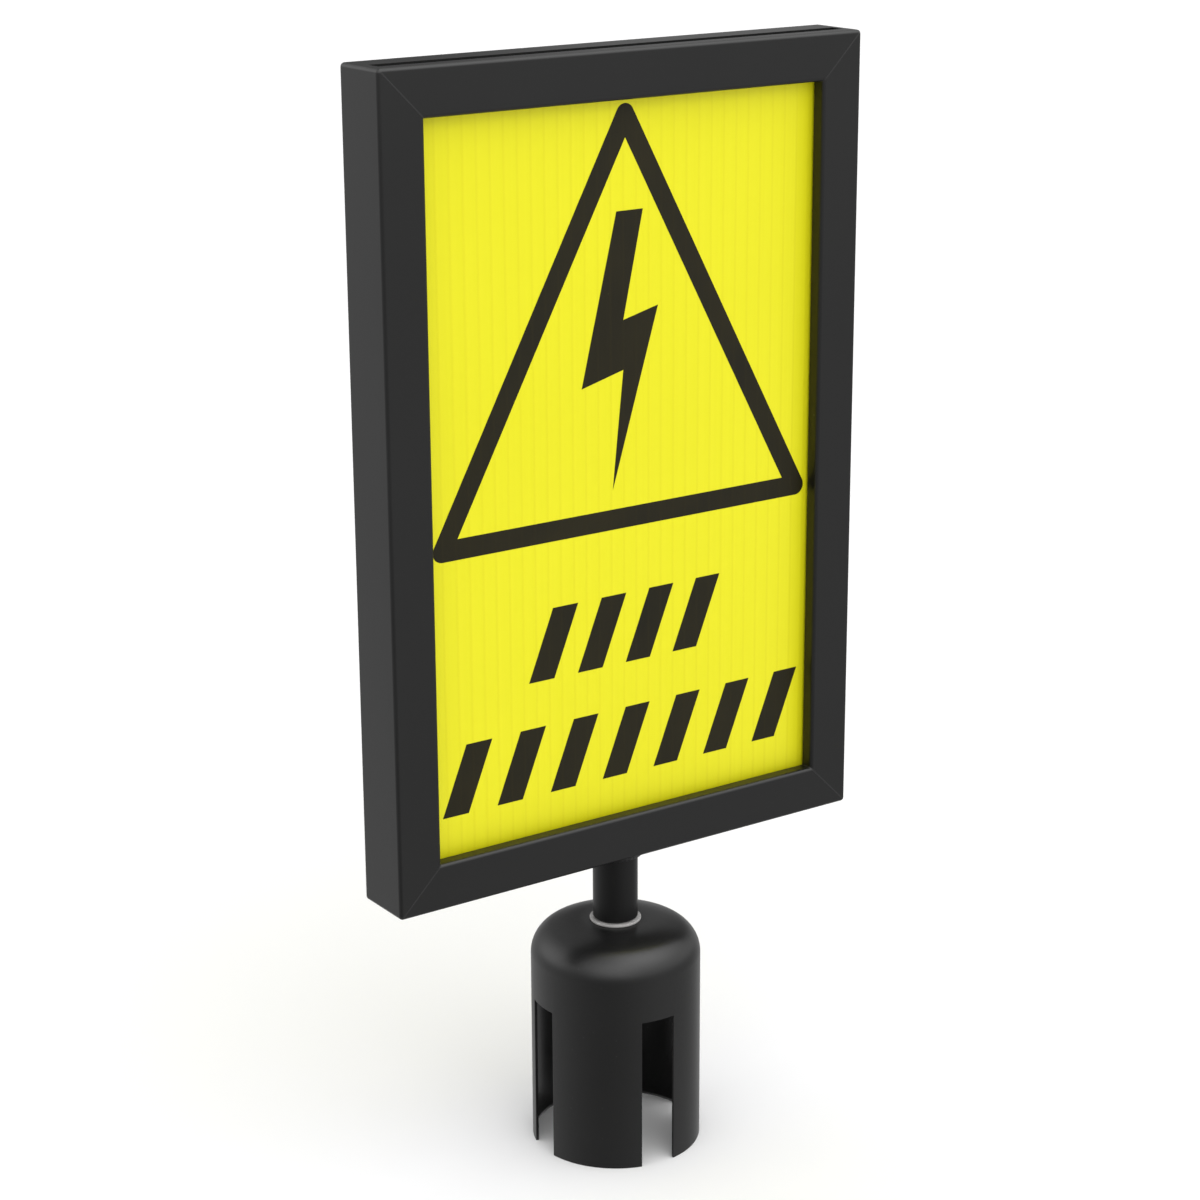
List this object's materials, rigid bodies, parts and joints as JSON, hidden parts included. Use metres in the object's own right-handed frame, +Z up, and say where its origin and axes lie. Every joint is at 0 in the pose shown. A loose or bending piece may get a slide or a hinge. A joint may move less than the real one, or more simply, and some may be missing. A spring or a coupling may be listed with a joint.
{
  "type": "signpost with sign",
  "caption": "Portrait sign frame that swivels on a slotted cap for the head of a barrier post; the fluted sign sheet lifts out through the top.",
  "frame": {"origin": "centre of the cap's lower rim, on the axis of the cap and the stem", "axes": "+Z up along the stem, front of the sign faces -Y, +X to the right of a person who reads the sign"},
  "size_m": [0.214, 0.0682, 0.439],
  "materials": {
    "frame_paint": "satin powder coat",
    "cap_paint": "satin powder coat",
    "stem_paint": "satin powder coat",
    "weld_paint": "satin powder coat over a dressed weld",
    "nylon": "natural nylon",
    "zinc_steel": "zinc plated",
    "sign_plastic": "fluted polypropylene, yellow"
  },
  "bodies": {
    "post_cap": {"cap_shell": "cap_paint", "swivel_bush": "nylon", "thrust_washer": "nylon"},
    "sign_frame": {"flat_washer": "zinc_steel", "lock_washer": "zinc_steel", "clamp_bolt": "zinc_steel", "stem_plug": "zinc_steel", "stem_tube": "stem_paint", "stem_weld": "weld_paint", "frame_bottom_rail": "frame_paint", "frame_left_rail": "frame_paint", "frame_right_rail": "frame_paint", "frame_top_rail": "frame_paint", "corner_welds": "weld_paint"},
    "sign": {"sign_sheet": "sign_plastic"}
  },
  "joints": [
    {"name": "frame_swivel", "type": "hinge", "parent": "post_cap", "child": "sign_frame", "pos_m": [0, 0, 0.0948], "axis": [0, 0, 1], "continuous": true},
    {"name": "sign_lift", "type": "slide", "parent": "sign_frame", "child": "sign", "axis": [0, 0, 1], "range_m": [0, 0.32]}
  ]
}
